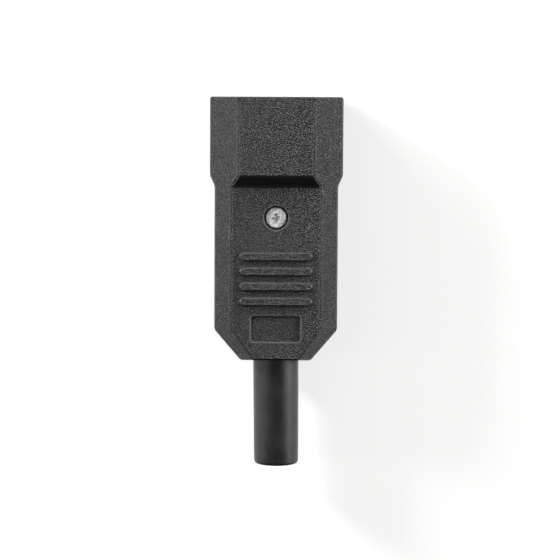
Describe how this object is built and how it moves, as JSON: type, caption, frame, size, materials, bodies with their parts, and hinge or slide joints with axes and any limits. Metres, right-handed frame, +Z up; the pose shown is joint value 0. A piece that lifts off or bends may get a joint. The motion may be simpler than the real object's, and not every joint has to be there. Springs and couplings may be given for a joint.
{
  "type": "iec power plug",
  "caption": "Rewirable power plug with a shrouded cavity of three flat pins, a screwed two-part casing with finger ribs, inner terminals, a cord clamp and a cord sleeve.",
  "frame": {"origin": "middle of the bounding box at its lowest point, which is the plane the shroud rests on", "axes": "+Y along the plug towards its mating end, +Z up through the half with the casing screw, +X to the right when the mating end points away from the viewer"},
  "size_m": [0.031, 0.0866, 0.023],
  "materials": {
    "casing": "black thermoplastic with a fine spark-eroded grain",
    "insert": "black thermoset, plain moulded",
    "clamp": "black thermoplastic, plain moulded",
    "pin": "nickel-plated brass",
    "terminal": "plain machined brass",
    "strap": "rolled strip",
    "zinc_steel": "zinc plated",
    "fibre": "vulcanised fibre",
    "sleeve": "satin black rubber"
  },
  "bodies": {
    "casing_base": {"lower_shell": "casing", "pin_insert": "insert", "insert_rear_plate": "insert", "line_pin": "pin", "neutral_pin": "pin", "earth_pin": "pin", "line_terminal": "terminal", "neutral_terminal": "terminal", "earth_terminal": "terminal", "earth_strap": "strap", "casing_nut": "zinc_steel", "cable_sleeve": "sleeve"},
    "cover": {"upper_shell": "casing"},
    "casing_screw": {"casing_screw": "zinc_steel", "screw_retaining_washer": "fibre"},
    "line_screw": {"line_terminal_screw": "zinc_steel"},
    "neutral_screw": {"neutral_terminal_screw": "zinc_steel"},
    "earth_screw": {"earth_terminal_screw": "zinc_steel"},
    "cord_clamp": {"cord_clamp_bar": "clamp", "left_clamp_screw": "zinc_steel", "right_clamp_screw": "zinc_steel"}
  },
  "joints": [
    {"name": "cover_lift", "type": "slide", "parent": "casing_base", "child": "cover", "axis": [0, 0, 1], "range_m": [0, 0.0045]},
    {"name": "casing_screw_turn", "type": "hinge", "parent": "cover", "child": "casing_screw", "pos_m": [0, 0.01546, 0.0188], "axis": [0, 0, 1], "range_deg": [0, 3600]},
    {"name": "line_screw_travel", "type": "slide", "parent": "casing_base", "child": "line_screw", "axis": [0, 0, 1], "range_m": [0, 0.0024]},
    {"name": "neutral_screw_travel", "type": "slide", "parent": "casing_base", "child": "neutral_screw", "axis": [0, 0, 1], "range_m": [0, 0.0024]},
    {"name": "earth_screw_travel", "type": "slide", "parent": "casing_base", "child": "earth_screw", "axis": [0, 0, 1], "range_m": [0, 0.0024]},
    {"name": "cord_clamp_lift", "type": "slide", "parent": "casing_base", "child": "cord_clamp", "axis": [0, 0, 1], "range_m": [0, 0.0022]}
  ],
  "couplings": [
    {"joint": "casing_screw_turn", "follows": "cover_lift", "rad_per_m": 13963}
  ]
}
